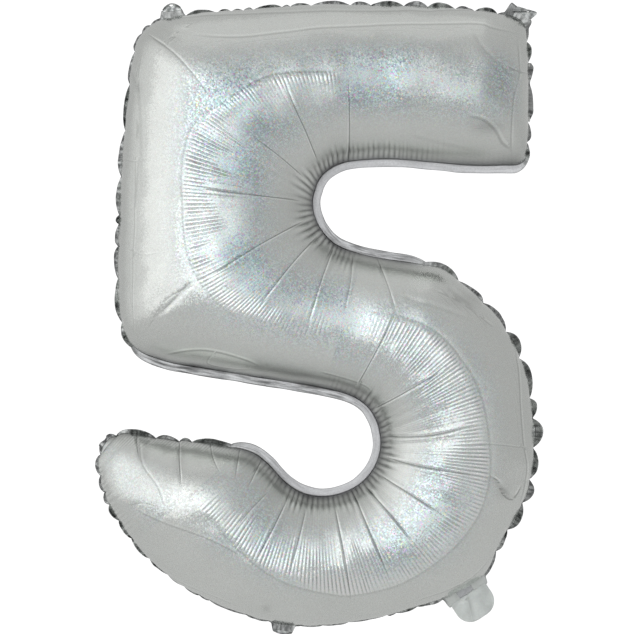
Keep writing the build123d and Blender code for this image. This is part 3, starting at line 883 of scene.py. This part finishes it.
def panel_foil(name, tone, rough):
    k = Tree(name)
    color, channels = k.flakes(540.0)
    _, small = k.flakes(1150.0)
    fine = k.noise(420.0)
    cloud = k.noise(9.0)
    # Glitter colour is painted in over the painted sparkle zone, and only a little elsewhere.
    painted_sparkle_zone = k.attr("painted_sparkle_zone")
    patch = k.ramp(cloud, 0.36, 0.60, 0.45, 1.0)
    amount = k.op("ADD", k.op("MULTIPLY", k.op("MULTIPLY", painted_sparkle_zone, patch), 0.86), 0.05, True)

    line, on, ring, off = k.attr("line"), k.attr("painted_crease_shade"), k.attr("ring"), k.attr("off")
    # Painted shade along each crease and line, and a painted highlight beside it.
    painted_shade = k.op("MULTIPLY", k.ramp(k.op("ABSOLUTE", line), 0.25, 1.15, 1.0, 0.0), on)
    light = k.op("MULTIPLY", k.ramp(k.op("ABSOLUTE", k.op("SUBTRACT", line, 1.9)), 0.3, 1.2, 1.0, 0.0), on)
    # Painted shade in a thin line at the ring's end, and a painted highlight strip just inside it.
    rim = k.op("MULTIPLY", k.ramp(k.op("ABSOLUTE", k.op("SUBTRACT", off, 1.0)), 0.5, 2.6, 1.0, 0.0), ring)
    painted_highlight_strip = k.op("MULTIPLY", k.ramp(off, -52.0, -14.0), k.ramp(off, -1.5, 0.5, 1.0, 0.0))
    painted_highlight_strip = k.op("MULTIPLY", painted_highlight_strip, ring)
    value = k.attr("tone")
    # Painted shade in the fold valleys and painted highlight on their ridges, from the wave.
    value = k.op("MULTIPLY", value, k.op("MAXIMUM", k.op("ADD", k.op("MULTIPLY", k.attr("wave"), 0.46), 1.0), 0.36))
    value = k.op("MULTIPLY", value, k.op("SUBTRACT", 1.0, k.op("MULTIPLY", painted_shade, 0.52)))
    value = k.op("MULTIPLY", value, k.op("ADD", k.op("MULTIPLY", light, 0.30), 1.0))
    value = k.op("MULTIPLY", value, k.op("SUBTRACT", 1.0, k.op("MULTIPLY", rim, 0.15)))
    value = k.op("MULTIPLY", value, k.op("ADD", k.op("MULTIPLY", painted_highlight_strip, 0.21), 1.0))
    value = k.op("MULTIPLY", value, k.ramp(small[0], 0.0, 1.0, 0.955, 1.045))
    base = k.mix(tuple(c * 0.95 for c in tone), tuple(min(c * 1.06, 1) for c in tone), cloud)
    base = k.mix(base, glitter_of(k, channels), amount)
    shade = k.new("VectorMath", operation="MINIMUM")
    k.put(shade.inputs[0], k.scaled(base, value))
    shade.inputs[1].default_value = (1.0, 1.0, 1.0)
    k.put(k.s.inputs["Base Color"], shade.outputs[0])
    # The flakes lie flatter, and blur more, where the foil turns under at a smooth seam.
    calm = k.attr("calm")
    lean = k.op("ADD", k.op("MULTIPLY", painted_sparkle_zone, 0.10), 0.07)
    k.lean(color, k.op("MULTIPLY", lean, k.op("SUBTRACT", 1.0, k.op("MULTIPLY", calm, 0.55))), fine)
    rough = k.ramp(fine, 0.2, 0.8, rough - 0.05, rough + 0.07)
    k.put(k.s.inputs["Roughness"], k.op("ADD", rough, k.op("MULTIPLY", calm, 0.10)))
    k.s.inputs["Metallic"].default_value = 1.0
    return k.m


def seam_foil_of(name):
    k = Tree(name)
    color, channels = k.flakes(640.0)
    smooth, painted_flange_light, run, out = k.attr("smooth"), k.attr("painted_flange_light"), k.attr("run"), k.attr("out")

    def streaks(along, across, detail):
        at = k.new("CombineXYZ")
        k.put(at.inputs[0], k.op("MULTIPLY", run, along))
        k.put(at.inputs[1], k.op("MULTIPLY", out, across))
        return k.noise(1.0, detail, at.outputs[0])

    ribs = streaks(0.22, 0.7, 2.0)
    bands = streaks(0.030, 3.4, 4.0)
    patches = streaks(0.020, 0.3, 2.0)
    # Scalloped edges: a dark base with light and dark streaks, painted shade and highlight standing in for reflections
    # in the crinkled foil.
    loose = k.mix((0.15, 0.155, 0.155), (0.50, 0.515, 0.51), k.ramp(ribs, 0.36, 0.72))
    loose = k.mix(loose, (0.52, 0.535, 0.525), k.ramp(patches, 0.50, 0.75, 0.0, 0.75))
    # Smooth flange: painted light and shade by section, with light and dark streaks along it.
    flat = k.mix((0.60, 0.612, 0.618), (0.90, 0.912, 0.935), painted_flange_light)
    spread = k.op("SUBTRACT", 1.05, painted_flange_light)
    wave = k.op("MULTIPLY", k.op("SUBTRACT", k.ramp(bands, 0.30, 0.70), 0.5), spread)
    value = k.op("ADD", k.op("MULTIPLY", wave, 1.3), k.op("ADD", k.op("MULTIPLY", painted_flange_light, 0.42), 0.58))
    # Painted shade at the inner rim, where the flange meets the dome; darker towards the outer edge.
    value = k.op("MULTIPLY", value, k.ramp(out, 0.0, 0.16, 0.42, 1.0))
    value = k.op("MULTIPLY", value, k.ramp(out, 0.86, 1.0, 1.0, 0.66))
    value = k.op("MULTIPLY", value, k.ramp(channels[0], 0.0, 1.0, 0.94, 1.05))
    base = k.mix(loose, k.scaled(flat, value), smooth)
    base = k.mix(base, (0.63, 0.66, 0.64), k.attr("plain"))
    k.put(k.s.inputs["Base Color"], base)
    k.lean(color, 0.05, ribs, 0.22, 0.0008)
    k.put(k.s.inputs["Roughness"], k.ramp(smooth, 0.0, 1.0, 0.22, 0.42))
    k.put(k.s.inputs["Metallic"], k.op("SUBTRACT", 1.0, k.op("MULTIPLY", k.op("MULTIPLY", smooth, painted_flange_light), 0.78)))
    return k.m


def plain_foil(name, tone, rough, metallic, spread=0.25, scale=60.0):
    k = Tree(name)
    color, channels = k.flakes(640.0)
    fine = k.noise(420.0)
    cloud = k.noise(scale, 4.0)
    base = k.mix(tuple(c * (1 - spread) for c in tone), tuple(min(c * (1 + spread), 1) for c in tone), k.ramp(cloud, 0.35, 0.65))
    k.put(k.s.inputs["Base Color"], k.mix(base, glitter_of(k, channels), 0.06))
    k.lean(color, 0.05, fine)
    k.put(k.s.inputs["Roughness"], k.ramp(fine, 0.2, 0.8, rough - 0.04, rough + 0.06))
    k.s.inputs["Metallic"].default_value = metallic
    return k.m


silver = panel_foil("holographic_foil", (0.83, 0.848, 0.816), 0.23)
seam_foil = seam_foil_of("sealed_foil")
# The tabs: a dark base with strong light and dark clouds, painted shade and highlight of the curled foil.
tab_foil_painted_shade = plain_foil("tab_foil_painted_shade", (0.38, 0.39, 0.385), 0.22, 1.0, 0.55, 150.0)
tail_foil = plain_foil("tail_foil", (0.63, 0.66, 0.64), 0.44, 0.75, 0.05, 40.0)
film, ft, fs = nodes_of("clear_film")
fs.inputs["Base Color"].default_value = (0.86, 0.88, 0.9, 1)
fs.inputs["Roughness"].default_value = 0.12
fs.inputs["Alpha"].default_value = 0.4
fn = ft.nodes.new("ShaderNodeTexNoise")
fn.inputs["Scale"].default_value = 60.0
fb_ = ft.nodes.new("ShaderNodeBump")
fb_.inputs["Strength"].default_value = 0.3
fb_.inputs["Distance"].default_value = 0.0005
ft.links.new(fn.outputs[0], fb_.inputs["Height"])
ft.links.new(fb_.outputs[0], fs.inputs["Normal"])

for o, material in (
    (front_obj, silver),
    (back_obj, silver),
    (seam_obj, seam_foil),
    (tab_left, tab_foil_painted_shade),
    (tab_right, tab_foil_painted_shade),
    (tab_tie, tab_foil_painted_shade),
    (tail_front, tail_foil),
    (tail_back, tail_foil),
    (valve_front, film),
    (valve_back, film),
):
    o.data.materials.append(material)

# ------------------------------------------------------------------ the frame
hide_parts("front_panel")
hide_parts("back_panel")
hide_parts("hang_tab_left")
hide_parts("hang_tab_right")
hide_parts("tie_tab")
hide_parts("tail_front_layer")
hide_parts("tail_back_layer")
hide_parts("valve_front_film")
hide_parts("valve_back_film")
for o in (front_obj, back_obj, seam_obj, valve_front, valve_back):
    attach(o, "envelope")
for o, foot, body in (
    (tab_left, "left", "hang_tab_left"),
    (tab_right, "right", "hang_tab_right"),
    (tab_tie, "tie", "tie_tab"),
    (tail_front, "tail", "inflation_tail"),
    (tail_back, "tail", "inflation_tail"),
):
    root, axis, _ = FEET[foot]
    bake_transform(o)

# ------------------------------------------------------------------ stage
floor = new_object(
    "floor",
    [(-5, -5, -1.25), (5, -5, -1.25), (5, 5, -1.25), (-5, 5, -1.25)],
    [(0, 1, 2, 3)],
    False,
)
fm, _, fsh = nodes_of("floor_pale")
fsh.inputs["Base Color"].default_value = (0.94, 0.94, 0.94, 1)
fsh.inputs["Roughness"].default_value = 0.8
floor.data.materials.append(fm)

world = bpy.data.worlds.new("studio")
bpy.context.scene.world = world
world.use_nodes = True
wt = world.node_tree
bg = wt.nodes["Background"]
bg.inputs["Strength"].default_value = 1.0
wc = wt.nodes.new("ShaderNodeTexCoord")


def glow_towards(direction, lo, hi, value):
    # Adds value to the sky around a direction, fading from hi to lo of the dot product.
    d = wt.nodes.new("ShaderNodeVectorMath")
    d.operation = "DOT_PRODUCT"
    wt.links.new(wc.outputs["Generated"], d.inputs[0])
    d.inputs[1].default_value = Vector(direction).normalized()
    r = wt.nodes.new("ShaderNodeMapRange")
    r.interpolation_type = "SMOOTHSTEP"
    r.inputs["From Min"].default_value = lo
    r.inputs["From Max"].default_value = hi
    r.inputs["To Min"].default_value = 0.0
    r.inputs["To Max"].default_value = value
    wt.links.new(d.outputs["Value"], r.inputs["Value"])
    return r.outputs[0]


sky = None
for args in (
    ((0, 0, 1), -3.0, -2.0, 0.50),
    ((-0.88, -0.45, 0.0), 0.45, 0.90, 0.21),
    ((1.0, 0.1, 0.0), 0.2, 0.9, -0.04),
    ((-0.25, -0.6, -0.76), 0.1, 0.9, 0.21),
    ((-0.24, -0.95, 0.20), 0.78, 0.985, 0.26),
    ((-0.16, -0.975, 0.15), 0.935, 0.992, 0.40),
    ((0.0, 1.0, 0.0), 0.93, 0.978, 0.60),
):
    g = glow_towards(*args)
    if sky is None:
        sky = g
    else:
        m = wt.nodes.new("ShaderNodeMath")
        m.operation = "ADD"
        wt.links.new(sky, m.inputs[0])
        wt.links.new(g, m.inputs[1])
        sky = m.outputs[0]
wt.links.new(sky, bg.inputs["Color"])


def area_light(name, at, size, power, to=(0, 0, 0), shape_y=None):
    light = bpy.data.lights.new(name, "AREA")
    light.energy = power
    light.size = size
    if shape_y:
        light.shape = "RECTANGLE"
        light.size_y = shape_y
    o = bpy.data.objects.new(name, light)
    o.location = at
    o.rotation_euler = (Vector(to) - Vector(at)).to_track_quat("-Z", "Y").to_euler()
    bpy.context.scene.collection.objects.link(o)
    return o


area_light("key", (-2.6, -1.7, 0.6), 1.8, 3.2, shape_y=2.2)
area_light("front", (-0.9, -3.2, 0.9), 1.6, 1.0)
area_light("top", (0.0, -0.4, 2.4), 2.0, 1.5)

camera = bpy.data.cameras.new("camera")
cam = bpy.data.objects.new("camera", camera)
bpy.context.scene.collection.objects.link(cam)
far = 3.3
cam.location = (0.001, -far, 0.005)
cam.rotation_euler = (math.pi / 2, 0, 0)
camera.sensor_width = 36.0
camera.lens = 36.0 * far / 0.873
bpy.context.scene.camera = cam
bpy.context.scene.view_settings.view_transform = "Standard"
